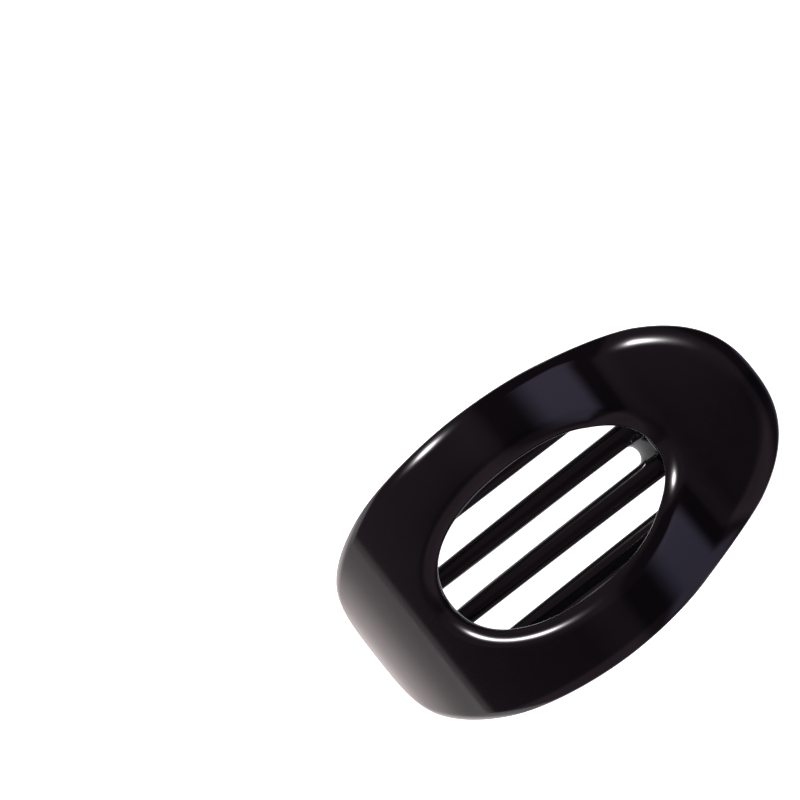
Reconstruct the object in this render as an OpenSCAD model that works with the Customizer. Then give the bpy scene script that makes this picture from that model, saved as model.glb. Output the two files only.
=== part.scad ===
// Flat hair claw clip: an oval moulded plate with a window, arched over a jaw of four tines.
// The clip lies on its lip and its finger lever. +X runs from the lip to the thumb pad, +Z is up.

/* [Plate] */
// Overall width of the oval plate
plate_w = 64.6; // [58:0.2:70]
// Thickness of the plate
plate_t = 3.8; // [3.2:0.1:4.2]
// How far the outer rim takes to roll over
outer_roll = 3; // [2:0.1:3.5]
// How far the window's rim takes to roll over
window_roll = 4; // [2.5:0.1:4.5]

/* [Plate side view] */
// Length of the steep lip along the plate
lip_len = 10; // [8:0.5:12]
// Slope at the lip's edge, in degrees
lip_slope = 84; // [80:1:86]
// Slope where the lip meets the shoulder
shoulder_slope = 54; // [50:1:58]
// Length of the shoulder
shoulder_len = 15; // [12:0.5:18]
// Slope where the shoulder meets the arch
arch_slope = 44; // [40:1:48]
// Length of the arch over the window
arch_len = 62; // [58:0.5:66]
// Downward slope where the arch meets the saddle
arch_fall = 28; // [24:1:30]
// Length of the hollow saddle over the hinge
saddle_len = 19; // [17:0.5:22]
// Upward slope where the saddle meets the thumb pad
pad_slope = 22; // [18:1:24]
// Length of the flared thumb pad
pad_len = 17; // [14:0.5:19]
// Upward slope at the thumb pad's edge
pad_tip_slope = 20; // [16:1:22]

/* [Plate outline] */
// Distance along the plate from the lip's edge to its widest place
widest_at = 62; // [58:0.5:66]
// How early the oval narrows towards the lip
lip_narrowing = 1.75; // [1.6:0.05:2.2]
// How blunt the oval ends at the lip
lip_bluntness = 2.7; // [2.2:0.1:3]
// How early the oval narrows towards the thumb pad
pad_narrowing = 2; // [1.8:0.05:2.3]
// How blunt the oval ends at the thumb pad
pad_bluntness = 2.45; // [2.2:0.05:2.7]

/* [Window] */
// Distance along the plate from the lip's edge to the window's middle
window_at = 65; // [62:0.1:66]
// Length of the window along the plate
window_l = 61.6; // [56:0.2:64]
// Width of the window
window_w = 33.2; // [28:0.2:36]
// Fullness of the window, 2 for a true ellipse
window_fullness = 2.14; // [2:0.02:2.4]

/* [Hinge] */
// Distance of the pivot from the middle of the clip, towards the thumb pad
pivot_x = 30.8; // [30.5:0.1:31]
// Height of the pivot above the surface that the clip lies on
pivot_z = 14; // [13.8:0.1:14.5]
// Radius of the hinge pin
pin_r = 1.5; // [1.2:0.1:1.7]
// How far each pin end stands out of its ear
pin_proud = 0.4; // [0.2:0.1:0.8]
// Radius of the knuckles and of the ears' round ends
knuckle_r = 4; // [3.6:0.1:4.2]
// Distance from the middle of the clip to the outer face of a knuckle
knuckle_out = 10.7; // [10:0.1:11]
// Width of a knuckle
knuckle_w = 4.1; // [3.5:0.1:4.5]
// Half width of a knuckle's foot, where it meets the web
knuckle_foot = 3.6; // [3.4:0.1:4]
// Thickness of an ear under the plate
ear_t = 3; // [2.5:0.1:3.5]
// Gap between a knuckle and its ear
ear_gap = 0.3; // [0.2:0.05:0.5]
// Half width of an ear where it meets the plate
ear_flare = 6.2; // [5:0.1:6.4]

/* [Jaw] */
// Distance from the middle line to the centre line of an inner tine
inner_tine_at = 5.15; // [5.1:0.05:5.3]
// Distance from the middle line to the centre line of an outer tine
outer_tine_at = 16.05; // [15.9:0.05:16.1]
// Width of a tine at its root
tine_root_w = 5.6; // [5.2:0.1:5.7]
// Width of a tine near its tip
tine_tip_w = 4.3; // [4:0.1:4.6]
// Thickness of a tine at its root
tine_root_t = 3.6; // [3:0.1:3.7]
// Thickness of a tine near its tip
tine_tip_t = 3; // [2.6:0.1:3.4]
// Where the tines' tips lie behind the lip
jaw_tip_x = -45; // [-45.1:0.1:-44]
// Height of the tines' tips
jaw_tip_z = 8; // [7.7:0.1:8.1]
// Width of the web that joins the tines
web_w = 37.7; // [37.7:0.1:38.2]
// Thickness of the web
web_t = 3.8; // [3.6:0.1:4]
// Thickness of the finger lever at its end
lever_t = 3.2; // [3:0.1:3.6]
// Where the nose between the inner tines begins, from the middle of the clip
nose_x = 22.8; // [22.4:0.1:23.2]

/* [Spring] */
// Thickness of the spring wire
wire_d = 1.1; // [0.9:0.1:1.2]
// Radius of the coil, to the middle of the wire
coil_r = 2.9; // [2.7:0.1:3]
// Width of the coil along the pin
coil_w = 6.6; // [6:0.1:7]
// Full turns in the coil
coil_turns = 5; // [4:1:5]
// Upward slope of the leg under the thumb pad, in degrees
pad_leg_slope = 35; // [34:0.5:35.5]
// Length of the leg under the thumb pad
pad_leg_len = 14.4; // [12:0.1:14.4]
// Downward slope of the leg on the finger lever, in degrees
lever_leg_slope = 22.5; // [21:0.5:23]
// Length of the leg on the finger lever
lever_leg_len = 11.6; // [10:0.1:12]

/* [Hidden] */

gloss_black = [0.07, 0.065, 0.075];
spring_steel = [0.62, 0.62, 0.64];

// A side view is a chain of arcs. Each row: length of the arc, slope at its start, slope at its end.
plate_arcs = [
    [lip_len, lip_slope, shoulder_slope],
    [shoulder_len, shoulder_slope, arch_slope],
    [arch_len, arch_slope, -arch_fall],
    [saddle_len, -arch_fall, pad_slope],
    [pad_len, pad_slope, pad_tip_slope],
];
// Tines bowed like a shallow dish, the web at the hinge, then the lever that splays to the surface
jaw_arcs = [
    [64.6, -8, 6],
    [12, 6, -6],
    [8, -6, -38],
    [9, -38, -3],
];

function arc_step(l, a, b) =
    let (turn = (b - a) * PI / 180)
    [(sin(b) - sin(a)) * l / turn, (cos(a) - cos(b)) * l / turn];

// Place at distance s along a chain of arcs: [x, z, slope]
function along(arcs, s, i = 0, x = 0, z = 0) =
    let (l = arcs[i][0], a = arcs[i][1], b = arcs[i][2])
    s <= l || i == len(arcs) - 1
        ? let (here = a + (b - a) * max(s, 1e-6) / l, d = arc_step(max(s, 1e-6), a, here))
            [x + d[0], z + d[1], here]
        : let (d = arc_step(l, a, b)) along(arcs, s - l, i + 1, x + d[0], z + d[1]);

function chain_length(arcs, i = 0) = i == len(arcs) ? 0 : arcs[i][0] + chain_length(arcs, i + 1);
function signed_power(v, p) = sign(v) * pow(abs(v), p);

// Triangles between ring k and the next ring, each with m points that turn right-handed about the way on
function band(k, next, m) =
    [for (j = [0 : m - 1])
        let (a = k * m + j, b = k * m + (j + 1) % m, c = next * m + j, d = next * m + (j + 1) % m)
        each [[a, d, b], [a, c, d]]];

// A closed sweep through rings, with a flat cap at each end
module capped_sweep(rings) {
    m = len(rings[0]);
    last = len(rings) - 1;
    polyhedron(
        points = [for (r = rings) each r],
        faces = [
            [for (j = [0 : m - 1]) j],
            for (k = [0 : last - 1]) each band(k, k + 1, m),
            [for (j = [m - 1 : -1 : 0]) last * m + j],
        ]
    );
}

// An outline in side view, extruded along Y from y0 to y1 at the place x, z
module along_y(x, z, y0, y1) {
    translate([x, y1, z]) rotate([90, 0, 0]) linear_extrude(y1 - y0) children();
}

// The plate is a ring of stations. Outline and window share one angle, so a station runs from rim to rim.
ring_stations = 84;
flat_steps = 12;
roll_steps = 6;
plate_len = chain_length(plate_arcs);
half_t = plate_t / 2;

function outline_at(angle) =
    let (
        to_lip = cos(angle) < 0,
        narrowing = to_lip ? lip_narrowing : pad_narrowing,
        bluntness = to_lip ? lip_bluntness : pad_bluntness,
        reach = to_lip ? widest_at : plate_len - widest_at
    )
    [widest_at + reach * signed_power(cos(angle), 2 / narrowing),
     plate_w / 2 * signed_power(sin(angle), 2 / bluntness)];

function window_rim_at(angle) =
    [window_at + window_l / 2 * signed_power(cos(angle), 2 / window_fullness),
     window_w / 2 * signed_power(sin(angle), 2 / window_fullness)];

// Section between the rims: [distance from the window's rim, height over the top surface]
function ring_section(width) =
    let (flat = width - window_roll - outer_roll)
    [
        for (i = [0 : flat_steps]) [window_roll + flat * i / flat_steps, 0],
        for (j = [1 : roll_steps - 1]) let (a = 90 - 180 * j / roll_steps)
            [width - outer_roll + outer_roll * cos(a), half_t * sin(a) - half_t],
        for (i = [0 : flat_steps]) [width - outer_roll - flat * i / flat_steps, -plate_t],
        for (j = [1 : roll_steps - 1]) let (a = -90 - 180 * j / roll_steps)
            [window_roll + window_roll * cos(a), half_t * sin(a) - half_t],
    ];

// The flat section bent to the side view: s along the plate, y across it, n over its top surface
function bent(s, y, n) = let (p = along(plate_arcs, s)) [p[0] - n * sin(p[2]), y, p[1] + n * cos(p[2])];

function ring_station(k) =
    let (
        angle = 360 * k / ring_stations,
        inner = window_rim_at(angle),
        outer = outline_at(angle),
        width = norm(outer - inner),
        outward = (outer - inner) / width
    )
    [for (q = ring_section(width)) let (p = inner + outward * q[0]) bent(p[0], p[1], q[1])];

plate_rings = [for (k = [0 : ring_stations - 1]) ring_station(k)];
lip_ring = plate_rings[ring_stations / 2];
pad_ring = plate_rings[0];

// The clip is centred on its length and its lip touches height 0
middle_x = (min([for (p = lip_ring) p[0]]) + max([for (p = pad_ring) p[0]])) / 2;
lift_z = -min([for (p = lip_ring) p[2]]);

module plate() {
    translate([-middle_x, 0, lift_z]) polyhedron(
        points = [for (r = plate_rings) each r],
        faces = [for (k = [0 : ring_stations - 1]) each band(k, (k + 1) % ring_stations, len(lip_ring))]
    );
}

// Hinge: ears that hang from the saddle's lowest place, and reach into the plate by half of it
ear_pin_gap = 0.05;
knuckle_pin_gap = 0.08;
ear_in = knuckle_out + ear_gap;
ear_out = ear_in + ear_t;
ear_neck = 0.9 * knuckle_r;
saddle_low_at = plate_len - pad_len - saddle_len * pad_slope / (arch_fall + pad_slope);
ear_reach = along(plate_arcs, saddle_low_at)[1] + lift_z - half_t - pivot_z;

module round_at_pivot(r, y0, y1) {
    along_y(pivot_x, pivot_z, y0, y1) circle(r, $fn = 64);
}

module ear(y0) {
    round_at_pivot(knuckle_r, y0, y0 + ear_t);
    along_y(pivot_x, pivot_z, y0, y0 + ear_t)
        polygon([[-ear_neck, -0.6], [ear_neck, -0.6], [ear_flare, ear_reach], [-ear_flare, ear_reach]]);
}

module top_shell() {
    color(gloss_black) difference() {
        union() {
            plate();
            ear(ear_in);
            ear(-ear_out);
        }
        round_at_pivot(pin_r + ear_pin_gap, -ear_out - 1, ear_out + 1);
    }
}

module hinge_pin() {
    color(spring_steel) round_at_pivot(pin_r, -ear_out - pin_proud, ear_out + pin_proud);
}

// Tines: rounded bars along the jaw's side view, which end inside the web
jaw_len = chain_length(jaw_arcs);
web_from = 69.8;
tine_len = web_from + 1.6;
tip_round = 2.2;
tine_sides = 16;
tine_squareness = 4;

// Place at distance s along the jaw from the tips: [x, z, slope]
function on_jaw(s) = let (p = along(jaw_arcs, s)) [jaw_tip_x + p[0], jaw_tip_z + p[1], p[2]];

tine_stations = [
    for (a = [12 : 19.5 : 90]) tip_round * (1 - cos(a)),
    for (i = [0 : 10]) 2 * tip_round + (tine_len - 2 * tip_round) * i / 10,
];

function tine_ring(s, y) =
    let (
        p = on_jaw(s),
        full = s < tip_round ? sqrt(1 - pow(1 - s / tip_round, 2)) : 1,
        half_w = (tine_tip_w + (tine_root_w - tine_tip_w) * s / tine_len) / 2 * full,
        half_h = (tine_tip_t + (tine_root_t - tine_tip_t) * s / tine_len) / 2 * full
    )
    [for (j = [0 : tine_sides - 1])
        let (
            a = 360 * (j + 0.5) / tine_sides,
            across = half_w * signed_power(cos(a), 2 / tine_squareness),
            up = half_h * signed_power(sin(a), 2 / tine_squareness)
        )
        [p[0] - up * sin(p[2]), y + across, p[1] + up * cos(p[2])]];

module tine(y) {
    capped_sweep([for (s = tine_stations) tine_ring(s, y)]);
}

// Web and lever: the side view, flat where it lies on the surface, cut to a rounded plan
web_steps = 16;
plan_steps = 28;
plan_narrowing = 2.6;
plan_bluntness = 1.9;
thinning_from = jaw_len - 18;
slot_x = on_jaw(web_from)[0];
outer_slot_r = (outer_tine_at - inner_tine_at - tine_root_w + 0.1) / 2;
inner_slot_r = inner_tine_at - tine_root_w / 2 + 0.05;
lever_end_x = on_jaw(jaw_len)[0] - 0.4;

function web_edge(s, side) =
    let (
        p = on_jaw(s),
        thinned = max(0, (s - thinning_from) / (jaw_len - thinning_from)),
        h = side * (web_t + (lever_t - web_t) * thinned) / 2
    )
    [p[0] - h * sin(p[2]), max(0, p[1] + h * cos(p[2]))];

module web_side() {
    s = [for (i = [0 : web_steps]) web_from + (jaw_len - web_from) * i / web_steps];
    polygon([for (i = [0 : web_steps]) web_edge(s[i], 1), for (i = [web_steps : -1 : 0]) web_edge(s[i], -1)]);
}

module web_plan() {
    half = [for (i = [0 : plan_steps]) let (a = 90 * i / plan_steps)
        [slot_x + (lever_end_x - slot_x) * pow(sin(a), 2 / plan_narrowing),
         web_w / 2 * pow(cos(a), 2 / plan_bluntness)]];
    polygon([
        [slot_x - 1, web_w / 2],
        for (p = half) p,
        for (i = [plan_steps - 1 : -1 : 0]) [half[i][0], -half[i][1]],
        [slot_x - 1, -web_w / 2],
    ]);
}

// A thin wall stands on the web in front of the coil, from knuckle to knuckle
wall_back_x = pivot_x - knuckle_r + 0.15;
wall_top_z = pivot_z + 0.6;
wall_foot_z = 7.2;
wall_top_t = 0.9;
wall_foot_t = 1.6;
knuckle_in = knuckle_out - knuckle_w;

module wall_side() {
    polygon([
        [wall_back_x, wall_foot_z],
        [wall_back_x - wall_foot_t, wall_foot_z],
        [wall_back_x - wall_top_t, wall_top_z],
        [wall_back_x, wall_top_z],
    ]);
}

// The nose ends the middle slot: a steep ramp up to the wall's top, hollowed like the slot's round end
nose_foot_z = 4.5;
nose_top_z = wall_top_z - 0.4;
nose_slope = 86;
nose_top_slope = 60;
nose_widening = 6;
nose_steps = 7;
nose_bend = (wall_top_z - nose_foot_z) / (cos(nose_top_slope) - cos(nose_slope));

// Hollow at step i: [place of its deepest line, height, radius]
function nose_hollow_at(i) =
    let (a = nose_slope + (nose_top_slope - nose_slope) * i / nose_steps)
    [nose_x + nose_bend * (sin(nose_slope) - sin(a)),
     nose_foot_z + nose_bend * (cos(a) - cos(nose_slope)),
     inner_slot_r + nose_widening * i / nose_steps];

module nose_hollow() {
    for (i = [0 : nose_steps - 1]) hull() for (k = [i, i + 1])
        let (h = nose_hollow_at(k))
        translate([h[0] - h[2], 0, h[1]]) linear_extrude(0.02) {
            circle(h[2], $fn = 72);
            translate([-10, 0]) square(2 * h[2], center = true);
        }
}

module nose() {
    s = [for (i = [0 : 4]) web_from - 4.6 + 1.6 * i];
    difference() {
        along_y(0, 0, -inner_slot_r - 0.3, inner_slot_r + 0.3) polygon([
            for (i = [0 : 4]) web_edge(s[i], -1),
            [wall_back_x - 0.2, web_edge(s[4], -1)[1]],
            [wall_back_x - 0.2, nose_top_z],
            [web_edge(s[0], 1)[0], nose_top_z],
        ]);
        nose_hollow();
    }
}

module knuckle(y0) {
    foot = wall_foot_z - pivot_z;
    round_at_pivot(knuckle_r, y0, y0 + knuckle_w);
    along_y(pivot_x, pivot_z, y0, y0 + knuckle_w)
        polygon([[-knuckle_r, 0.5], [0.75 * knuckle_r, 1], [knuckle_foot, foot], [-knuckle_foot, foot]]);
}

module tine_jaw() {
    color(gloss_black) difference() {
        union() {
            intersection() {
                along_y(0, 0, -web_w, web_w) web_side();
                linear_extrude(pivot_z) web_plan();
            }
            along_y(0, 0, -knuckle_in - 0.2, knuckle_in + 0.2) wall_side();
            nose();
            knuckle(knuckle_in);
            knuckle(-knuckle_out);
            for (side = [-1, 1]) { tine(side * inner_tine_at); tine(side * outer_tine_at); }
        }
        round_at_pivot(pin_r + knuckle_pin_gap, -ear_out, ear_out);
        for (side = [-1, 1]) translate([slot_x, side * (inner_tine_at + outer_tine_at) / 2, 0])
            cylinder(h = wall_foot_z + 2.8, r = outer_slot_r, $fn = 48);
    }
}

// Torsion spring: a leg under the thumb pad, the coil round the pin, a leg on the finger lever
steps_a_turn = 12;
wire_sides = 8;
coil_from = 90 + pad_leg_slope;
coil_to = 270 - lever_leg_slope + 360 * coil_turns;

function coil_point(angle) =
    [pivot_x + coil_r * cos(angle),
     coil_w * ((angle - coil_from) / (coil_to - coil_from) - 0.5),
     pivot_z + coil_r * sin(angle)];

function spring_path() =
    let (
        n = round((coil_to - coil_from) / 360 * steps_a_turn),
        pad_way = [cos(pad_leg_slope), 0, sin(pad_leg_slope)],
        lever_way = [cos(lever_leg_slope), 0, -sin(lever_leg_slope)]
    )
    [
        for (part = [1, 0.5]) coil_point(coil_from) + part * pad_leg_len * pad_way,
        for (i = [0 : n]) coil_point(coil_from + (coil_to - coil_from) * i / n),
        for (part = [0.5, 1]) coil_point(coil_to) + part * lever_leg_len * lever_way,
    ];

module torsion_spring() {
    path = spring_path();
    last = len(path) - 1;
    color(spring_steel) capped_sweep([for (i = [0 : last])
        let (
            way = path[min(i + 1, last)] - path[max(i - 1, 0)],
            ahead = way / norm(way),
            beside = cross(ahead, [0, 1, 0]) / norm(cross(ahead, [0, 1, 0])),
            above = cross(ahead, beside)
        )
        [for (j = [0 : wire_sides - 1]) let (a = 360 * j / wire_sides)
            path[i] + wire_d / 2 * (cos(a) * beside + sin(a) * above)]]);
}

top_shell();
tine_jaw();
hinge_pin();
torsion_spring();
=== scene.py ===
import math

import bmesh
import bpy
import numpy as np
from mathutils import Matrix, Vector


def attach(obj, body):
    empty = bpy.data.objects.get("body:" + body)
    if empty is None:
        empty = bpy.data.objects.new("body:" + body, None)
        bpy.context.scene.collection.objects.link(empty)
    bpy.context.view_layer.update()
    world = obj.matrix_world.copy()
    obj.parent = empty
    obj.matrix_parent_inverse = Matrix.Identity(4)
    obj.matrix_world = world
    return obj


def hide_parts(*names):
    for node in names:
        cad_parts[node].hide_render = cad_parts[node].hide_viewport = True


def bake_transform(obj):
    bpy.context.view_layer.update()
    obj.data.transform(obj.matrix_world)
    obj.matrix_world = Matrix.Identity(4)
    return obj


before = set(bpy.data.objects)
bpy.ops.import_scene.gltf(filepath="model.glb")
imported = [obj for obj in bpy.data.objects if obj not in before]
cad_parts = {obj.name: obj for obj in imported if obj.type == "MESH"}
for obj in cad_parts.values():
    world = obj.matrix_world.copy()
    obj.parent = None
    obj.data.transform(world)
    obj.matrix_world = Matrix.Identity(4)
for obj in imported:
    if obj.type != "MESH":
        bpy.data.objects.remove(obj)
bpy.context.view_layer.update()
scene = bpy.context.scene
mm = 0.001
print("frame loaded:", ", ".join(sorted(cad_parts)))


def addObject(name, data):
    obj = bpy.data.objects.new(name, data)
    scene.collection.objects.link(obj)
    return obj


def meshObject(name, verts, faces):
    mesh = bpy.data.meshes.new(name)
    mesh.from_pydata([tuple(v) for v in verts], [], [tuple(f) for f in faces])
    mesh.validate()
    return addObject(name, mesh)


def ringFaces(rings, around, closed=False):
    # quads between neighbouring rings of vertices; an open stack gets a cap at each end
    faces = []
    for k in range(rings if closed else rings - 1):
        low, high = k * around, (k + 1) % rings * around
        for j in range(around):
            beside = (j + 1) % around
            faces.append((low + j, high + j, high + beside, low + beside))
    if not closed:
        faces += [tuple(range(around)), tuple(range((rings - 1) * around, rings * around))]
    return faces


def faceOutwards(obj):
    bm = bmesh.new()
    bm.from_mesh(obj.data)
    bmesh.ops.remove_doubles(bm, verts=bm.verts, dist=1e-7)
    bmesh.ops.recalc_face_normals(bm, faces=bm.faces)
    bm.to_mesh(obj.data)
    bm.free()


def smoothShade(obj, sharpDegrees):
    for polygon in obj.data.polygons:
        polygon.use_smooth = True
    obj.data.set_sharp_from_angle(angle=math.radians(sharpDegrees))


def evaluatedMesh(obj):
    depsgraph = bpy.context.evaluated_depsgraph_get()
    return bpy.data.meshes.new_from_object(obj.evaluated_get(depsgraph), depsgraph=depsgraph)


def bakeModifiers(obj):
    # the result becomes the object's own mesh, and the modifiers go
    mesh, old, name = evaluatedMesh(obj), obj.data, obj.data.name
    obj.modifiers.clear()
    obj.data = mesh
    bpy.data.meshes.remove(old)
    mesh.name = name


def combine(obj, tools, operation):
    for tool in tools:
        modifier = obj.modifiers.new(operation.lower(), "BOOLEAN")
        modifier.operation = operation
        modifier.solver = "EXACT"
        modifier.object = tool
    bakeModifiers(obj)
    for tool in tools:
        bpy.data.objects.remove(tool)


def polyCurve(name, points, radii=None):
    curve = bpy.data.curves.new(name, "CURVE")
    curve.dimensions = "3D"
    spline = curve.splines.new("POLY")
    spline.points.add(len(points) - 1)
    for i, point in enumerate(points):
        spline.points[i].co = (point[0], point[1], point[2], 1)
        spline.points[i].radius = radii[i] if radii else 1.0
    return addObject(name, curve)


def signedPower(value, power):
    return math.copysign(abs(value) ** power, value)


def superEllipse(turn, narrowing, bluntness):
    return signedPower(math.cos(turn), 2 / narrowing), signedPower(math.sin(turn), 2 / bluntness)


def arcChain(arcs, startX, startZ, step=0.1):
    # a side view from arcs in millimetres, each (length, first slope, last slope): arrays of s, x, z, slope
    s, x, z, slope = [0.0], [startX], [startZ], [math.radians(arcs[0][1])]
    done = 0.0
    for length, first, last in arcs:
        first, last = math.radians(first), math.radians(last)
        x0, z0 = x[-1], z[-1]
        steps = int(round(length / step))
        bend = (last - first) / length
        for i in range(1, steps + 1):
            here = length * i / steps
            turned = first + bend * here
            s.append(done + here)
            x.append(x0 + (math.sin(turned) - math.sin(first)) / bend)
            z.append(z0 + (math.cos(first) - math.cos(turned)) / bend)
            slope.append(turned)
        done += length
    return np.array(s), np.array(x), np.array(z), np.array(slope)


def newTree(name, kind, inputs, outputs):
    # a geometry or shader group with named sockets
    tree = bpy.data.node_groups.new(name, kind + "NodeTree")
    for label, socketKind, value in inputs:
        socket = tree.interface.new_socket(label, in_out="INPUT", socket_type="NodeSocket" + socketKind)
        if value is not None:
            socket.default_value = value
    for label, socketKind in outputs:
        tree.interface.new_socket(label, in_out="OUTPUT", socket_type="NodeSocket" + socketKind)
    return tree


def setInputs(tree, node, inputs):
    # an input takes a link from another node's socket, or a value of its own
    for key, value in inputs.items():
        if isinstance(value, bpy.types.NodeSocket):
            tree.links.new(value, node.inputs[key])
        else:
            node.inputs[key].default_value = value


def addNode(tree, kind, place, inputs=None, **settings):
    node = tree.nodes.new(kind)
    node.location = place
    for key, value in settings.items():
        setattr(node, key, value)
    setInputs(tree, node, inputs or {})
    return node


def finishGeometryTree(tree, geometry, material, x):
    realize = addNode(tree, "GeometryNodeRealizeInstances", (x, 0), {"Geometry": geometry})
    paint = addNode(tree, "GeometryNodeSetMaterial", (x + 200, 0), {
        "Geometry": realize.outputs["Geometry"], "Material": material})
    addNode(tree, "NodeGroupOutput", (x + 400, 0), {"Geometry": paint.outputs["Geometry"]})


def addTree(obj, tree, values):
    # inputs are set by the socket's identifier, before the object is first evaluated
    modifier = obj.modifiers.new(tree.name, "NODES")
    modifier.node_group = tree
    for item in tree.interface.items_tree:
        if item.item_type == "SOCKET" and item.in_out == "INPUT" and item.name in values:
            modifier[item.identifier] = values[item.name]


def mixColors(tree, place, share, first, second):
    # the Mix node keeps its two colours at inputs 6 and 7 and their mix at output 2
    node = addNode(tree, "ShaderNodeMix", place, {"Factor": share, 6: first, 7: second}, data_type="RGBA")
    return node.outputs[2]


def mathNode(tree, place, operation, first, second=None):
    inputs = {0: first} if second is None else {0: first, 1: second}
    return addNode(tree, "ShaderNodeMath", place, inputs, operation=operation).outputs["Value"]


def vectorNode(tree, place, operation, first, second):
    inputs = {0: first, "Scale" if operation == "SCALE" else 1: second}
    return addNode(tree, "ShaderNodeVectorMath", place, inputs, operation=operation).outputs["Vector"]


def mapRange(tree, place, value, source, target=(0.0, 1.0), smooth=True):
    node = addNode(tree, "ShaderNodeMapRange", place, {
        "Value": value, "From Min": source[0], "From Max": source[1],
        "To Min": target[0], "To Max": target[1],
    }, interpolation_type="SMOOTHSTEP" if smooth else "LINEAR")
    return node.outputs["Result"]


def colorRamp(tree, place, share, stops, tint, most):
    # a stop holds the tint times its tone, as a share of the most that the tones reach
    ramp = addNode(tree, "ShaderNodeValToRGB", place, {"Fac": share})
    for i, (position, tone) in enumerate(stops):
        stop = ramp.color_ramp.elements[i] if i < 2 else ramp.color_ramp.elements.new(position)
        stop.position = position
        stop.color = tuple(tone / most * c for c in tint) + (1,)
    return ramp


def makeMouldedFlow():
    # the slow waves of a moulded face and the haze that handling leaves on it
    group = newTree("mouldedFlow", "Shader", [
        ("Wave Size", "Float", 90.0), ("Wave Height", "Float", 0.03), ("Haze Size", "Float", 260.0),
        ("Smooth Roughness", "Float", 0.06), ("Hazy Roughness", "Float", 0.12),
    ], [("Height", "Float"), ("Roughness", "Float")])
    start = addNode(group, "NodeGroupInput", (-900, 0))
    place = addNode(group, "ShaderNodeTexCoord", (-900, 300))
    waves = addNode(group, "ShaderNodeTexNoise", (-600, 200), {
        "Vector": place.outputs["Object"], "Scale": start.outputs["Wave Size"],
        "Detail": 1.0, "Roughness": 0.4})
    haze = addNode(group, "ShaderNodeTexNoise", (-600, -150), {
        "Vector": place.outputs["Object"], "Scale": start.outputs["Haze Size"],
        "Detail": 4.0, "Roughness": 0.6})
    lift = mathNode(group, (-300, 200), "MULTIPLY", waves.outputs["Fac"], start.outputs["Wave Height"])
    roughness = start.outputs["Smooth Roughness"], start.outputs["Hazy Roughness"]
    spread = mapRange(group, (-300, -150), haze.outputs["Fac"], (0.35, 0.72), roughness, smooth=False)
    addNode(group, "NodeGroupOutput", (0, 0), {"Height": lift, "Roughness": spread})
    return group


def makeDrawnLines():
    # fine lines left by drawing or turning metal, along one axis
    group = newTree("drawnLines", "Shader", [
        ("Stretch", "Vector", (40.0, 2500.0, 2500.0)), ("Depth", "Float", 0.5),
        ("Bright", "Color", (0.7, 0.7, 0.72, 1)), ("Dull", "Color", (0.45, 0.45, 0.46, 1)),
    ], [("Color", "Color"), ("Height", "Float")])
    start = addNode(group, "NodeGroupInput", (-900, 0))
    place = addNode(group, "ShaderNodeTexCoord", (-900, 300))
    scaled = vectorNode(group, (-700, 200), "MULTIPLY", place.outputs["Object"], start.outputs["Stretch"])
    lines = addNode(group, "ShaderNodeTexNoise", (-500, 200), {"Vector": scaled, "Scale": 1.0, "Detail": 3.0})
    tone = mixColors(group, (-250, -100), lines.outputs["Fac"],
                     start.outputs["Dull"], start.outputs["Bright"])
    height = mathNode(group, (-250, 200), "MULTIPLY", lines.outputs["Fac"], start.outputs["Depth"])
    addNode(group, "NodeGroupOutput", (0, 0), {"Color": tone, "Height": height})
    return group


mouldedFlow = makeMouldedFlow()
drawnLines = makeDrawnLines()


def newMaterial(name):
    material = bpy.data.materials.new(name)
    material.use_nodes = True
    return material, material.node_tree, material.node_tree.nodes["Principled BSDF"]


gloss = {
    "deep": (0.0010, 0.0008, 0.0010, 1), "pale": (0.0018, 0.0014, 0.0017, 1), "cloudSize": 45.0,
    "waveSize": 70.0, "waveHeight": 0.03, "smooth": 0.07, "hazy": 0.12,
    # the jaw's sheen is lower than the plate's as painted shade, for the light that the shell keeps off it
    "bumpStrength": 0.25, "bumpDistance": 0.00005, "ior": 1.53, "plateSheen": 0.5, "jawShadedSheen": 0.36,
}


def makeGlossPlastic(name, sheen):
    material, tree, shader = newMaterial(name)
    flow = addNode(tree, "ShaderNodeGroup", (-600, -100), {
        "Wave Size": gloss["waveSize"], "Wave Height": gloss["waveHeight"],
        "Smooth Roughness": gloss["smooth"], "Hazy Roughness": gloss["hazy"],
    }, node_tree=mouldedFlow)
    place = addNode(tree, "ShaderNodeTexCoord", (-900, 300))
    cloud = addNode(tree, "ShaderNodeTexNoise", (-700, 300), {
        "Vector": place.outputs["Object"], "Scale": gloss["cloudSize"]})
    tone = mixColors(tree, (-400, 300), cloud.outputs["Fac"], gloss["deep"], gloss["pale"])
    bump = addNode(tree, "ShaderNodeBump", (-300, -200), {
        "Height": flow.outputs["Height"],
        "Strength": gloss["bumpStrength"], "Distance": gloss["bumpDistance"]})
    setInputs(tree, shader, {
        "Base Color": tone, "Roughness": flow.outputs["Roughness"], "Normal": bump.outputs["Normal"],
        "IOR": gloss["ior"], "Specular IOR Level": sheen})
    return material


steel = {
    "bumpStrength": 0.3, "bumpDistance": 0.00002,
    "wire": {"Stretch": (300.0, 300.0, 300.0), "Depth": 0.3,
             "Bright": (0.72, 0.71, 0.69, 1), "Dull": (0.55, 0.54, 0.53, 1)},
    "rod": {"Stretch": (2500.0, 60.0, 2500.0), "Depth": 0.6,
            "Bright": (0.62, 0.62, 0.63, 1), "Dull": (0.42, 0.42, 0.43, 1)},
    "wireRoughness": 0.16, "rodRoughness": 0.28,
}


def makeSteel(name, finish):
    material, tree, shader = newMaterial(name)
    lines = addNode(tree, "ShaderNodeGroup", (-500, 0), steel[finish], node_tree=drawnLines)
    bump = addNode(tree, "ShaderNodeBump", (-250, -200), {
        "Height": lines.outputs["Height"],
        "Strength": steel["bumpStrength"], "Distance": steel["bumpDistance"]})
    setInputs(tree, shader, {
        "Base Color": lines.outputs["Color"], "Normal": bump.outputs["Normal"],
        "Metallic": 1.0, "Roughness": steel[finish + "Roughness"]})
    return material


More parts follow.
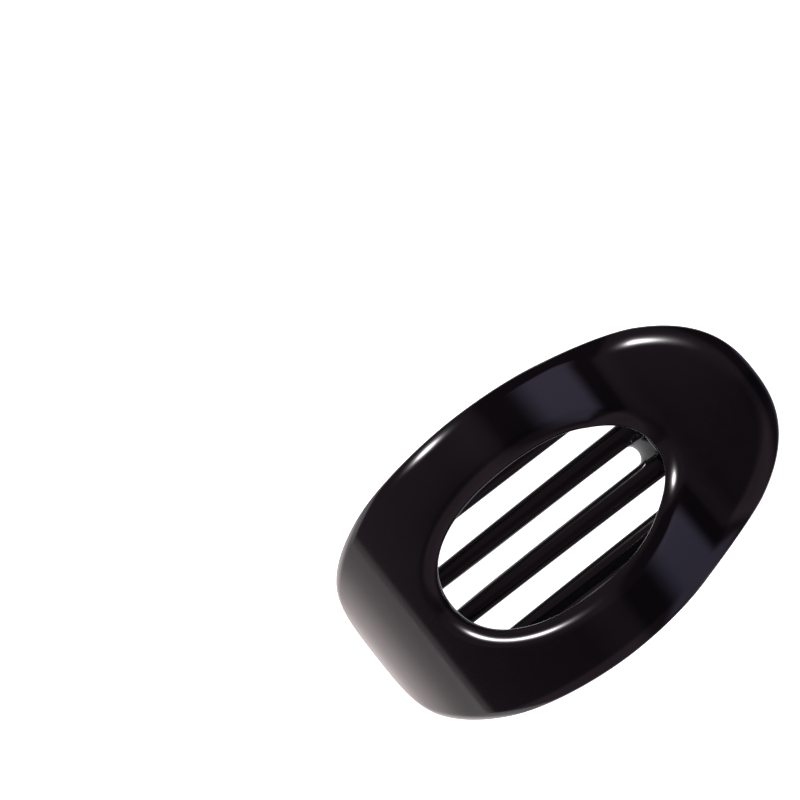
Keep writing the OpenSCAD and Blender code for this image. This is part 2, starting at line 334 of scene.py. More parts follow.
glossBlack = makeGlossPlastic("glossBlackPlastic", gloss["plateSheen"])
# the jaw is the same plastic as the shell; its lower sheen is painted shade, for the light that the shell
# keeps off it
jawShadedBlack = makeGlossPlastic("jawBlackPlastic", gloss["jawShadedSheen"])
springWire = makeSteel("nickelledSpringWire", "wire")
pinSteel = makeSteel("drawnPinSteel", "rod")
print("materials made")


hinge = {"x": 30.8, "z": 14.0, "boreInEar": 1.55, "boreInKnuckle": 1.58}
plate = {
    # a flat ring bent to the side view: lengths in millimetres, turns in degrees round the window
    "sideView": ((10, 84, 54), (15, 54, 44), (62, 44, -28), (19, -28, 22), (17, 22, 20)),
    "width": 64.6, "thickness": 3.8, "widestAt": 62,
    "lipNarrowing": 1.75, "lipBluntness": 2.7, "padNarrowing": 2, "padBluntness": 2.45,
    "windowAt": 65.0, "windowLength": 61.6, "windowWidth": 33.2, "windowFullness": 2.14,
    "armRoll": 2.95, "armDrop": 0.86, "padRoll": 5.3, "padDrop": 1.9, "padBlend": (46, 64),
    "lipRoll": 3.0, "lipBlend": (118, 150), "outerPower": 2.0, "outerCorner": 0.7,
    "windowRoll": 4.15, "windowDrop": 1.8, "windowPower": 2.45, "windowCorner": 0.06,
    "rollCrowding": 1.3, "underRoll": 1.3, "crown": 0.1,
    "stations": 320, "topSteps": 18, "rollSteps": 15, "cornerSteps": 5, "underSteps": 8,
}
ear = {
    "inner": 11.0, "outer": 14.0, "radius": 4.0, "neck": 3.8, "neckSpeed": 3,
    "footLength": 6.2, "footRise": 5.0, "footPower": 2.2, "footMost": 1.15,
    "spread": 1.1, "spreadRise": 1.6, "spreadPower": 2.4, "spreadMost": 1.3,
    "corner": 3.4, "tipCorner": 2.4, "tipLength": 1.2,
    "roundFrom": 4, "roundSteps": 14, "riseSteps": 26, "around": 40, "borePast": 1, "boreSides": 72,
}
plateS, plateX, plateZ, plateSlope = arcChain(plate["sideView"], 0.0, 0.0)
plateLength = plateS[-1]


def outlineAt(turn):
    end = "lip" if math.cos(turn) < 0 else "pad"
    u, v = superEllipse(turn, plate[end + "Narrowing"], plate[end + "Bluntness"])
    reach = plate["widestAt"] if end == "lip" else plateLength - plate["widestAt"]
    return np.array((plate["widestAt"] + reach * u, plate["width"] / 2 * v))


def windowRimAt(turn):
    u, v = superEllipse(turn, plate["windowFullness"], plate["windowFullness"])
    return np.array((plate["windowAt"] + plate["windowLength"] / 2 * u, plate["windowWidth"] / 2 * v))


def softStep(value, first, last):
    share = min(1.0, max(0.0, (value - first) / (last - first)))
    return share * share * (3 - 2 * share)


def softEdge(roll, drop, power, corner):
    # from the flat top out to the edge and under it: (distance in from the edge, height over the top face)
    inset = 0.0
    for _ in range(4):   # settles where the roll is as steep as the corner's start
        steepest = math.atan(drop * power / roll * ((roll - inset) / roll) ** (power - 1))
        inset = corner * (1 - math.sin(steepest))
    points, thickness = [], plate["thickness"]
    for i in range(1, plate["rollSteps"] + 1):
        d = inset + (roll - inset) * (1 - i / plate["rollSteps"]) ** plate["rollCrowding"]
        points.append((d, -drop * ((roll - d) / roll) ** power))
    startZ = points[-1][1]
    for i in range(1, plate["cornerSteps"] + 1):
        a = steepest + (math.pi / 2 - steepest) * i / plate["cornerSteps"]
        points.append((corner * (1 - math.sin(a)), startZ - corner * (math.cos(steepest) - math.cos(a))))
    startZ = points[-1][1]
    for i in range(1, plate["underSteps"] + 1):
        a = math.radians(90 * i / plate["underSteps"])
        points.append((plate["underRoll"] * (1 - math.cos(a)), startZ - (thickness + startZ) * math.sin(a)))
    return points


def halfRound(roll):
    # the same number of points on half an ellipse as tall as the plate is thick
    count = plate["rollSteps"] + plate["cornerSteps"] + plate["underSteps"]
    turns = [math.radians(90 - 180 * i / count) for i in range(1, count + 1)]
    return [(roll * (1 - math.cos(a)), plate["thickness"] / 2 * (math.sin(a) - 1)) for a in turns]


def ringSection(width, turn):
    # (distance from the window's rim, height over the top face), once round the section
    steps, under = plate["topSteps"], -plate["thickness"]
    fromPad = abs((math.degrees(turn) + 180) % 360 - 180)
    onPad, onLip = 1 - softStep(fromPad, *plate["padBlend"]), softStep(fromPad, *plate["lipBlend"])
    roll = plate["armRoll"] + (plate["padRoll"] - plate["armRoll"]) * onPad
    roll += (plate["lipRoll"] - roll) * onLip
    drop = plate["armDrop"] + (plate["padDrop"] - plate["armDrop"]) * onPad
    rolled = softEdge(roll, drop, plate["outerPower"], plate["outerCorner"])
    outer = [(a[0] + (b[0] - a[0]) * onLip, a[1] + (b[1] - a[1]) * onLip)
             for a, b in zip(rolled, halfRound(roll))]
    window = softEdge(plate["windowRoll"], plate["windowDrop"], plate["windowPower"], plate["windowCorner"])
    flatFrom, flatTo = plate["windowRoll"], width - roll
    lowFrom, lowTo = width - outer[-1][0], window[-1][0]
    section = [(flatFrom + (flatTo - flatFrom) * i / steps, 0.0) for i in range(steps + 1)]
    section += [(width - d, height) for d, height in outer]
    section += [(lowFrom - (lowFrom - lowTo) * i / steps, under) for i in range(1, steps)]
    section += reversed(window)
    crowned = []
    for d, height in section:
        sunk = plate["crown"] * (2 * d / width - 1) ** 2 * (1 - onLip)
        crowned.append((d, max(height - sunk, under)))
    return crowned


def flatRing():
    verts = []
    for k in range(plate["stations"]):
        turn = 2 * math.pi * k / plate["stations"]
        inner, outer = windowRimAt(turn), outlineAt(turn)
        width = np.linalg.norm(outer - inner)
        outward = (outer - inner) / width
        section = ringSection(width, turn)
        for reach, height in section:
            place = inner + outward * reach
            verts.append((place[0] * mm, place[1] * mm, height * mm))
    return verts, ringFaces(plate["stations"], len(section), closed=True)


def makeBendTree():
    # a vertex goes as far along the side view as its X, and its Z is height over it
    tree = newTree("bendToSideView", "Geometry", [
        ("Geometry", "Geometry", None), ("Side View", "Object", None), ("Shift", "Vector", (0.0, 0.0, 0.0)),
        ("Material", "Material", None),
    ], [("Geometry", "Geometry")])
    start = addNode(tree, "NodeGroupInput", (-900, 0))
    place = addNode(tree, "GeometryNodeInputPosition", (-900, -250))
    parts = addNode(tree, "ShaderNodeSeparateXYZ", (-700, -250), {"Vector": place.outputs["Position"]})
    guide = addNode(tree, "GeometryNodeObjectInfo", (-700, 200), {"Object": start.outputs["Side View"]})
    sample = addNode(tree, "GeometryNodeSampleCurve", (-450, 100), {
        "Curves": guide.outputs["Geometry"], "Length": parts.outputs["X"]}, mode="LENGTH")
    way = addNode(tree, "ShaderNodeSeparateXYZ", (-200, -50), {"Vector": sample.outputs["Tangent"]})
    minus = mathNode(tree, (0, -50), "MULTIPLY", way.outputs["Z"], -1.0)
    upward = addNode(tree, "ShaderNodeCombineXYZ", (150, -50), {"X": minus, "Z": way.outputs["X"]})
    lift = vectorNode(tree, (300, -50), "SCALE", upward.outputs["Vector"], parts.outputs["Z"])
    across = addNode(tree, "ShaderNodeCombineXYZ", (150, -300), {"Y": parts.outputs["Y"]})
    total, x = sample.outputs["Position"], 450
    for step in (lift, across.outputs["Vector"], start.outputs["Shift"]):
        total, x = vectorNode(tree, (x, 50), "ADD", total, step), x + 150
    put = addNode(tree, "GeometryNodeSetPosition", (x, 0), {
        "Geometry": start.outputs["Geometry"], "Position": total})
    finishGeometryTree(tree, put.outputs["Geometry"], start.outputs["Material"], x + 200)
    return tree


def bentAt(s, n):
    # where a point of the flat ring lands, in millimetres, before the clip is centred
    x, z, slope = [np.interp(s, plateS, values) for values in (plateX, plateZ, plateSlope)]
    return x - n * math.sin(slope), z + n * math.cos(slope)


def bentSection(turn):
    # the section through the middle of the lip or of the pad, bent
    inner, outer = windowRimAt(turn)[0], outlineAt(turn)[0]
    way = math.copysign(1, outer - inner)
    return [bentAt(inner + way * reach, height) for reach, height in ringSection(abs(outer - inner), turn)]


def plateShift():
    # the clip is centred on its length, and its lip touches the floor
    lip, pad = bentSection(math.pi), bentSection(0.0)
    middle = (min(x for x, _ in lip) + max(x for x, _ in pad)) / 2
    return -middle, -min(z for _, z in lip)


shiftX, shiftZ = plateShift()
print("plate shift %.3f %.3f mm" % (shiftX, shiftZ))


def earLoft(name, side):
    # one ear, lofted upwards: round about the pin, a neck, then a foot that spreads into the plate
    middleY = side * (ear["inner"] + ear["outer"]) / 2
    topZ = float(np.interp(hinge["x"] - shiftX, plateX, plateZ)) + shiftZ - plate["thickness"] / 2
    underZ = topZ - plate["thickness"] / 2
    levels = []   # (height, half length, share of the sideways spread)
    for i in range(ear["roundSteps"] + 1):
        a = math.radians(ear["roundFrom"] + (90 - ear["roundFrom"]) * i / ear["roundSteps"])
        levels.append((hinge["z"] - ear["radius"] * math.cos(a), ear["radius"] * math.sin(a), 0.0))
    for i in range(1, ear["riseSteps"] + 1):
        t = i / ear["riseSteps"]
        z = hinge["z"] + (topZ - hinge["z"]) * t
        neck = ear["radius"] + (ear["neck"] - ear["radius"]) * min(1, t * ear["neckSpeed"]) ** 2
        foot = max(0.0, (z - (underZ - ear["footRise"])) / ear["footRise"])
        halfLength = neck + (ear["footLength"] - neck) * min(ear["footMost"], foot ** ear["footPower"])
        levels.append((z, halfLength, max(0.0, (z - (underZ - ear["spreadRise"])) / ear["spreadRise"])))
    verts = []
    for z, halfLength, spread in levels:
        thick = (ear["outer"] - ear["inner"]) / 2
        thick += ear["spread"] * min(ear["spreadMost"], spread) ** ear["spreadPower"]
        corner = ear["corner"] if halfLength > ear["tipLength"] else ear["tipCorner"]
        for j in range(ear["around"]):
            u, v = superEllipse(2 * math.pi * (j + 0.5) / ear["around"], corner, corner)
            verts.append(((hinge["x"] + halfLength * u) * mm, (middleY + thick * v) * mm, z * mm))
    piece = meshObject(name, verts, ringFaces(len(levels), ear["around"]))
    faceOutwards(piece)
    return piece


def turnedPiece(name, profile, sides):
    # turned about the hinge's axis, from pairs of radius and place along it
    verts = []
    for radius, y in profile:
        for j in range(sides):
            a = 2 * math.pi * j / sides
            verts.append(((hinge["x"] + radius * math.cos(a)) * mm, y * mm,
                          (hinge["z"] + radius * math.sin(a)) * mm))
    piece = meshObject(name, verts, ringFaces(len(profile), sides))
    faceOutwards(piece)
    return piece


sideView = polyCurve("plateSideView", [(x * mm, 0.0, z * mm) for x, z in zip(plateX, plateZ)])
shell = meshObject("polished_top_shell", *flatRing())
addTree(shell, makeBendTree(), {
    "Side View": sideView, "Shift": (shiftX * mm, 0.0, shiftZ * mm), "Material": glossBlack})
bakeModifiers(shell)
bpy.data.objects.remove(sideView)
faceOutwards(shell)
combine(shell, [earLoft("earLeft", 1), earLoft("earRight", -1)], "UNION")
boreEnd = ear["outer"] + ear["borePast"]
boreProfile = [(hinge["boreInEar"], -boreEnd), (hinge["boreInEar"], boreEnd)]
combine(shell, [turnedPiece("earBore", boreProfile, ear["boreSides"])], "DIFFERENCE")
shell.data.materials.clear()
shell.data.materials.append(glossBlack)
smoothShade(shell, 40)
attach(shell, "shell")
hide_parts("top_shell")
print("shell:", len(shell.data.polygons), "faces")


jaw = {
    # one moulding, drawn as a distance field
    "sideView": ((64.6, -8, 6), (12, 6, -6), (8, -6, -38), (9, -38, -3)), "tipX": -45.0, "tipZ": 8.0,
    "tineAt": (5.15, 16.05), "tipWidth": 4.3, "rootWidth": 5.6, "tipThickness": 3.0, "rootThickness": 3.6,
    "outerTineShift": 0.12, "outerTineExtra": 0.3, "tineOverlap": 1.6, "slotExtra": 0.05,
    "crown": 0.3, "crownPast": 1, "crownFade": 6, "edge": 1.15, "footRound": 0.3,
    "webFrom": 69.8, "webWidth": 38.5, "webThickness": 3.8, "webBlend": 4, "fillPast": 3,
    "leverThickness": 3.2, "thinFrom": 18.0, "leverInset": 0.4, "planNarrowing": 2.6, "planBluntness": 1.9,
    "fillet": 1.0, "hubFillet": 0.7, "hubFrom": 6.5, "boreRound": 0.25,
    "knuckleRadius": 4.0, "knuckleOuter": 10.7, "knuckleWidth": 4.1, "knuckleFoot": 3.9,
    "knuckleNeck": 1.0, "knuckleEdge": 0.45,
    "wallTopZ": 14.6, "wallThickness": 0.9, "wallFoot": 1.6, "wallTaperFrom": 7.2, "wallOverlap": 0.15,
    "wallInset": 1.5, "wallRound": 0.5,
    "noseX": 22.8, "noseFootZ": 4.5, "noseTopZ": 14.2, "noseSlope": 86, "noseTopSlope": 53,
    "noseWidening": 6.0, "noseSetBack": 2.6, "noseFrom": 5.5, "noseOverlap": 0.3, "noseBendLimit": 0.75,
    "noseTopRound": 0.5, "noseBackRound": 0.3, "noseRound": 0.4,
    "cell": 0.3, "longCell": 0.6, "gridX": (-45.6, -42.0, 18.0, 47.4), "gridY": (-19.8, 19.9),
    "gridZ": (-0.6, 18.8),
}
jawS, jawX, jawZ, jawSlope = arcChain(jaw["sideView"], jaw["tipX"], jaw["tipZ"])
jawLength = jawS[-1]
webX = float(np.interp(jaw["webFrom"], jawS, jawX))
leverEndX = jawX[-1] - jaw["leverInset"]
tineLength = jaw["webFrom"] + jaw["tineOverlap"]
innerAt, outerAt = jaw["tineAt"]
innerSlot = innerAt - jaw["rootWidth"] / 2 + jaw["slotExtra"]   # half the width of the middle slot
outerSlot = (outerAt - innerAt - jaw["rootWidth"] + 2 * jaw["slotExtra"]) / 2
slotCentre = jaw["noseX"] + jaw["noseSetBack"] - innerSlot
hubFront = hinge["x"] - jaw["knuckleRadius"]
noseSteep, noseTop = math.radians(jaw["noseSlope"]), math.radians(jaw["noseTopSlope"])
noseBend = (jaw["wallTopZ"] - jaw["noseFootZ"]) / (math.cos(noseTop) - math.cos(noseSteep))


def softMin(a, b, k):
    h = np.clip(0.5 + 0.5 * (b - a) / k, 0, 1)
    return b + (a - b) * h - k * h * (1 - h)


def softMax(a, b, k):
    return -softMin(-a, -b, k)


def extruded(plan, rise, edge):
    # a plan outline with thickness, its edges rounded
    q, r = plan + edge, rise + edge
    return np.hypot(np.maximum(q, 0), np.maximum(r, 0)) + np.minimum(np.maximum(q, r), 0) - edge


def alongJaw(x, z, margin=3):
    # distance along the jaw's side view and height over it
    s = np.interp(x, jawX, jawS)
    for _ in range(5):
        s = np.clip(s, -margin, jawLength + margin)
        cx, cz, a = [np.interp(s, jawS, values) for values in (jawX, jawZ, jawSlope)]
        s = s + (x - cx) * np.cos(a) + (z - cz) * np.sin(a)
    return s, -(x - cx) * np.sin(a) + (z - cz) * np.cos(a)


def tineHalfWidth(s, past=0.0):
    share = np.clip(s / tineLength, 0, 1 + past)
    return (jaw["tipWidth"] + (jaw["rootWidth"] - jaw["tipWidth"]) * share) / 2


def jawPlan(s, x, y, leastSlope=0.03):
    # tines, web and lever seen from above, as one outline
    side, half = np.abs(y), tineHalfWidth(s, 0.1)
    tines = [np.hypot(np.minimum(s - halfWidth, 0), side - at) - halfWidth for at, halfWidth in (
        (innerAt, half), (outerAt + jaw["outerTineShift"], half + jaw["outerTineExtra"]))]
    tines = np.maximum(np.minimum(*tines), s - tineLength)
    leverReach, halfWeb = leverEndX - webX, jaw["webWidth"] / 2
    u, v = np.clip((x - webX) / leverReach, 0, 2), side / halfWeb
    pu, pv = jaw["planNarrowing"], jaw["planBluntness"]
    slope = np.hypot(pu * u ** (pu - 1) / leverReach, pv * v ** (pv - 1) / halfWeb)
    web = (u ** pu + v ** pv - 1) / np.maximum(slope, leastSlope)
    web = np.maximum(web, webX - x)
    web = np.maximum(web, outerSlot - np.hypot(np.maximum(x - webX, 0), side - (innerAt + outerAt) / 2))
    between = np.maximum(side - innerAt, slotCentre - x)   # fills the middle slot's end
    between = np.maximum(between, x - webX - jaw["fillPast"])
    between = np.maximum(between, innerSlot - np.hypot(np.maximum(x - slotCentre, 0), y))
    return np.minimum(np.minimum(tines, web), between)


def noseField(x, y, z):
    # the sloping front between the inner tines, hollowed like a scoop
    cosine = np.clip((z - jaw["noseFootZ"]) / noseBend + math.cos(noseSteep), 0.0, jaw["noseBendLimit"])
    deepest = jaw["noseX"] + noseBend * (math.sin(noseSteep) - np.sqrt(1 - cosine ** 2))
    share = np.clip((z - jaw["noseFootZ"]) / (jaw["wallTopZ"] - jaw["noseFootZ"]), 0, 1)
    radius = innerSlot + jaw["noseWidening"] * share
    hollow = radius - np.hypot(np.maximum(x - deepest + radius, 0), y)
    block = softMax(np.abs(y) - innerSlot - jaw["noseOverlap"], z - jaw["noseTopZ"], jaw["noseTopRound"])
    block = softMax(block, x - hubFront, jaw["noseBackRound"])
    block = np.maximum(block, jaw["noseFrom"] - z)
    return softMax(block, hollow, jaw["noseRound"])


def wallField(x, y, z):
    back = hubFront + jaw["wallOverlap"]
    rise = np.clip((z - jaw["wallTaperFrom"]) / (jaw["wallTopZ"] - jaw["wallTaperFrom"]), 0, 1)
    front = back - jaw["wallFoot"] + (jaw["wallFoot"] - jaw["wallThickness"]) * rise
    d = softMax(front - x, x - back, jaw["wallRound"])
    d = softMax(d, z - jaw["wallTopZ"], jaw["wallRound"])
    d = np.maximum(d, jaw["hubFrom"] - z)
    return np.maximum(d, np.abs(y) - jaw["knuckleOuter"] + jaw["wallInset"])


def knuckleField(x, y, z):
    px, pz = hinge["x"], hinge["z"]
    eye = np.hypot(x - px, z - pz) - jaw["knuckleRadius"]
    leg = np.maximum(np.abs(x - px) - jaw["knuckleFoot"], np.maximum(z - pz, jaw["hubFrom"] - z))
    half = jaw["knuckleWidth"] / 2
    fromMiddle = np.abs(np.abs(y) - (jaw["knuckleOuter"] - half))
    return extruded(softMin(eye, leg, jaw["knuckleNeck"]), fromMiddle - half, jaw["knuckleEdge"])


def jawField(x, y, z):
    s, n = alongJaw(x, z)
    onWeb = np.clip((s - jaw["webFrom"] + jaw["webBlend"] / 2) / jaw["webBlend"], 0, 1)
    onLever = np.clip((s - jawLength + jaw["thinFrom"]) / jaw["thinFrom"], 0, 1)
    t = jaw["tipThickness"] + (jaw["rootThickness"] - jaw["tipThickness"]) * np.clip(s / tineLength, 0, 1)
    t = t + (jaw["webThickness"] - jaw["rootThickness"]) * onWeb
    t = t + (jaw["leverThickness"] - jaw["webThickness"]) * onLever
    nearest = np.minimum(np.abs(np.abs(y) - innerAt), np.abs(np.abs(y) - outerAt))
    crowned = jaw["crown"] * np.clip(nearest / tineHalfWidth(s), 0, 1) ** 2
    crowned = crowned * np.clip((webX + jaw["crownPast"] - x) / jaw["crownFade"], 0, 1)
    slab = extruded(jawPlan(s, x, y), np.abs(n) - t / 2 + crowned, jaw["edge"])
    slab = softMax(slab, -z, jaw["footRound"])
    hub = np.minimum(wallField(x, y, z), noseField(x, y, z))
    hub = softMin(hub, knuckleField(x, y, z), jaw["hubFillet"])
    d = softMin(slab, hub, jaw["fillet"])
    return softMax(d, hinge["boreInKnuckle"] - np.hypot(x - hinge["x"], z - hinge["z"]), jaw["boreRound"])


def surfaceNet(field, xs, ys, zs):
    # one vertex in each cell that the surface crosses, joined across the grid's crossed edges
    gx, gy, gz = np.meshgrid(xs, ys, zs, indexing="ij")
    f = field(gx, gy, gz)
    inside = f < 0
    corners = [(i, j, k) for i in (0, 1) for j in (0, 1) for k in (0, 1)]

    def corner(a, c):
        return a[c[0]:a.shape[0] - 1 + c[0], c[1]:a.shape[1] - 1 + c[1], c[2]:a.shape[2] - 1 + c[2]]

    filled = sum(corner(inside, c).astype(np.int8) for c in corners)
    active = (filled > 0) & (filled < 8)
    index = np.full(active.shape, -1, dtype=np.int64)
    index[active] = np.arange(active.sum())
    total, places = np.zeros(active.shape), [np.zeros(active.shape) for _ in range(3)]
    for a in corners:
        for axis in range(3):
            if a[axis] == 0:
                b = tuple(1 if m == axis else a[m] for m in range(3))
                fa, fb = corner(f, a), corner(f, b)
                crossed = (fa < 0) != (fb < 0)
                t = np.where(crossed, fa / np.where(crossed, fa - fb, 1), 0)
                for m, g in enumerate((gx, gy, gz)):
                    places[m] += np.where(crossed, corner(g, a) + t * (corner(g, b) - corner(g, a)), 0)
                total += crossed
    verts = np.stack([p[active] / total[active] for p in places], 1)
    faces = []
    for axis in range(3):
        b, c = (axis + 1) % 3, (axis + 2) % 3
        low, high = [slice(None)] * 3, [slice(None)] * 3
        low[axis], high[axis] = slice(0, -1), slice(1, None)
        first, second = inside[tuple(low)], inside[tuple(high)]
        edges = np.argwhere(first != second)
        edges = edges[(edges[:, b] > 0) & (edges[:, c] > 0)]
        edges = edges[(edges[:, b] < f.shape[b] - 1) & (edges[:, c] < f.shape[c] - 1)]
        quad = []
        for db, dc in ((-1, -1), (0, -1), (0, 0), (-1, 0)):
            cell = edges.copy()
            cell[:, b] += db
            cell[:, c] += dc
            quad.append(index[cell[:, 0], cell[:, 1], cell[:, 2]])
        quad = np.stack(quad, 1)
        starts = first[edges[:, 0], edges[:, 1], edges[:, 2]]
        quad[~starts] = quad[~starts][:, ::-1]
        faces.append(quad)
    return verts, np.concatenate(faces)


def settle(field, verts, rounds=4, step=0.01, leastSlope=0.5, longest=0.12):
    # vertices slide onto the surface along the field's own slope
    p = verts.copy()
    ways = step * np.eye(3)
    for _ in range(rounds):
        slope = np.stack([(field(*(p + way).T) - field(*(p - way).T)) / (2 * step) for way in ways], 1)
        size = np.maximum((slope ** 2).sum(1), leastSlope ** 2)
        move = slope * (field(*p.T) / size)[:, None]
        length = np.linalg.norm(move, axis=1)
        p -= move * np.minimum(1, longest / np.maximum(length, 1e-9))[:, None]
    return p


fine = jaw["cell"]
tipEnd, tinesFrom, tinesTo, leverEnd = jaw["gridX"]
gridX = np.concatenate([np.arange(tipEnd, tinesFrom, fine), np.arange(tinesFrom, tinesTo, jaw["longCell"]),
                        np.arange(tinesTo, leverEnd, fine)])
gridY = np.arange(jaw["gridY"][0] - fine / 2, jaw["gridY"][1], fine)
gridZ = np.arange(jaw["gridZ"][0] - fine / 2, jaw["gridZ"][1], fine)
jawVerts, jawFaces = surfaceNet(jawField, gridX, gridY, gridZ)
jawVerts = settle(jawField, jawVerts)
jawVerts[:, 2] = np.maximum(jawVerts[:, 2], 0.0)   # the foot lies flat on the floor
jawPiece = meshObject("moulded_tine_jaw", jawVerts * mm, jawFaces)
# the jaw's plastic, with its lower sheen as painted shade
jawPiece.data.materials.append(jawShadedBlack)
smoothShade(jawPiece, 50)
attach(jawPiece, "jaw")
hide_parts("tine_jaw")
print("jaw:", len(jawPiece.data.polygons), "faces")


spring = {
    "wire": 1.1, "coilRadius": 2.9, "coilWidth": 6.6, "turns": 5, "stepsPerTurn": 40, "sides": 20,
    "padSlope": 35, "padLeg": 14.4, "leverSlope": 22.5, "leverLeg": 11.6, "legSteps": 12,
    "endPoints": 7, "endSteps": 6.3, "endLength": 0.5,   # the rounded ends; their length in wire radii
}


def springPath():
    first = 90 + spring["padSlope"]
    last = 270 - spring["leverSlope"] + 360 * spring["turns"]
    steps = int(round((last - first) / 360 * spring["stepsPerTurn"]))

    def coilPoint(angle):
        a = math.radians(angle)
        return Vector((hinge["x"] + spring["coilRadius"] * math.cos(a),
                       spring["coilWidth"] * ((angle - first) / (last - first) - 0.5),
                       hinge["z"] + spring["coilRadius"] * math.sin(a)))

    def wayAt(slope):
        return Vector((math.cos(math.radians(slope)), 0, math.sin(math.radians(slope))))

    padWay, leverWay, count = wayAt(spring["padSlope"]), wayAt(-spring["leverSlope"]), spring["legSteps"]
    coil = [coilPoint(first + (last - first) * i / steps) for i in range(steps + 1)]
    pad = [coil[0] + padWay * spring["padLeg"] * (1 - i / count) for i in range(count)]
    lever = [coil[-1] + leverWay * spring["leverLeg"] * i / count for i in range(1, count + 1)]
    return pad + coil + lever


def makeWireTree():
    tree = newTree("wireAlongPath", "Geometry", [
        ("Geometry", "Geometry", None), ("Wire Radius", "Float", 0.0005), ("Sides", "Int", 16),
        ("Material", "Material", None),
    ], [("Geometry", "Geometry")])
    start = addNode(tree, "NodeGroupInput", (-600, 0))
    circle = addNode(tree, "GeometryNodeCurvePrimitiveCircle", (-400, -200), {
        "Resolution": start.outputs["Sides"], "Radius": start.outputs["Wire Radius"]})
    sweep = addNode(tree, "GeometryNodeCurveToMesh", (-150, 0), {
        "Curve": start.outputs["Geometry"], "Profile Curve": circle.outputs["Curve"], "Fill Caps": True})
    smooth = addNode(tree, "GeometryNodeSetShadeSmooth", (50, 0), {"Geometry": sweep.outputs["Mesh"]})
    finishGeometryTree(tree, smooth.outputs["Geometry"], start.outputs["Material"], 250)
    return tree


def sweptPath(name, points, radii, tree, values):
    # the path's own object is used only to evaluate the tree
    path = polyCurve(name + "Path", points, radii)
    addTree(path, tree, values)
    mesh = evaluatedMesh(path)
    bpy.data.objects.remove(path)
    mesh.name = name
    return addObject(name, mesh)


def roundedEnds(points, radius):
    # extra points close to both ends, where the wire's radius falls as in a half ball
    points, radii = [p.copy() for p in points], [1.0] * len(points)
    for atStart in (True, False):
        tip, inner = (points[0], points[1]) if atStart else (points[-1], points[-2])
        way = (tip - inner).normalized()
        extra = []
        for i in range(spring["endPoints"]):
            a = math.radians(90 * i / spring["endSteps"])
            extra.append((tip - way * radius * spring["endLength"] * (1 - math.sin(a)), math.cos(a)))
        if atStart:
            extra.reverse()
        swapped = slice(0, 1) if atStart else slice(-1, None)
        points[swapped], radii[swapped] = [p for p, _ in extra], [r for _, r in extra]
    return points, radii


wirePoints, wireRadii = roundedEnds([p * mm for p in springPath()], spring["wire"] / 2 * mm)
springPiece = sweptPath("wound_torsion_spring", wirePoints, wireRadii, makeWireTree(), {
    "Wire Radius": spring["wire"] / 2 * mm, "Sides": spring["sides"], "Material": springWire})
faceOutwards(springPiece)
smoothShade(springPiece, 60)
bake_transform(springPiece)
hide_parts("torsion_spring")
print("spring:", len(springPiece.data.polygons), "faces")


pin = {
    "radius": 1.5, "proud": 0.4, "sides": 64,
    # the turned end: (in from the radius, in from the end)
    "endProfile": ((0.75, 0.0), (0.45, 0.04), (0.2, 0.14), (0.06, 0.28), (0.0, 0.45)),
}
pinEnd = ear["outer"] + pin["proud"]
pinProfile = [(pin["radius"] - inward, pinEnd - back) for inward, back in pin["endProfile"]]
pinProfile += [(radius, -y) for radius, y in reversed(pinProfile)]
pinPiece = turnedPiece("turned_hinge_pin", pinProfile, pin["sides"])
pinPiece.data.materials.append(pinSteel)
smoothShade(pinPiece, 30)
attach(pinPiece, "shell")
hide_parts("hinge_pin")
print("pin:", len(pinPiece.data.polygons), "faces")


stage = {
    "floorSize": 3.0, "floorTone": (0.8, 0.8, 0.8, 1), "lipX": -0.0526, "poolReach": 0.2,
    "poolSides": (0.02, 0.08), "poolEdge": 0.002,
    # the floor's painted light outwards from the lip, lowest right at the lip as painted contact shade:
    # (share of the reach, glow)
    "paintedLightStops": ((0.0, 1.0), (0.012, 1.75), (0.025, 2.3), (0.05, 2.55), (0.11, 2.5), (0.16, 1.95),
                  (0.22, 1.45), (0.33, 0.9), (0.5, 0.68), (1.0, 0.5)),
    "glowTop": 3.0, "glowTint": (1.0, 0.87, 0.855),
    # away from the pool, the floor in the gloss gets a dimmer painted glow than the camera sees
    "paintedGlowElsewhere": (0.26, 0.26, 0.26, 1), "glowSeen": (0.5, 0.5, 0.5, 1),
}


def makeFloor():
    # a pale sheet whose glow is painted light, seen only in the gloss: a painted pool of light brightest a
    # little way out from the lip, painted contact shade right at the lip, and a dimmer painted glow
    # elsewhere; to the camera it is evenly white
    material, tree, shader = newMaterial("paleFloor")
    place = addNode(tree, "ShaderNodeTexCoord", (-1300, 0))
    parts = addNode(tree, "ShaderNodeSeparateXYZ", (-1100, 0), {"Vector": place.outputs["Object"]})
    lipX = stage["lipX"]
    outward = mapRange(tree, (-900, 100), parts.outputs["X"], (lipX, lipX - stage["poolReach"]), smooth=False)
    # painted light: a pool of glow beyond the lip, dipping at the lip as painted contact shade
    pool = colorRamp(tree, (-700, 100), outward, stage["paintedLightStops"], stage["glowTint"], stage["glowTop"])
    sideways = mathNode(tree, (-900, -200), "ABSOLUTE", parts.outputs["Y"])
    across = mapRange(tree, (-700, -200), sideways, stage["poolSides"])
    inward = mapRange(tree, (-700, -450), parts.outputs["X"], (lipX, lipX + stage["poolEdge"]))
    away = mathNode(tree, (-450, -300), "MAXIMUM", across, inward)
    # outside the pool the gloss sees the dimmer painted glow
    glow = mixColors(tree, (-200, 0), away, pool.outputs["Color"], stage["paintedGlowElsewhere"])
    path = addNode(tree, "ShaderNodeLightPath", (-200, 400))
    seen = mixColors(tree, (50, 100), path.outputs["Is Camera Ray"], glow, stage["glowSeen"])
    setInputs(tree, shader, {
        "Base Color": stage["floorTone"], "Roughness": 0.9, "Specular IOR Level": 0.0,
        "Emission Color": seen, "Emission Strength": stage["glowTop"]})
    half = stage["floorSize"] / 2
    corners = [(-half, -half, 0), (half, -half, 0), (half, half, 0), (-half, half, 0)]
    floor = meshObject("paleFloor", corners, [(0, 1, 2, 3)])
    floor.data.materials.append(material)


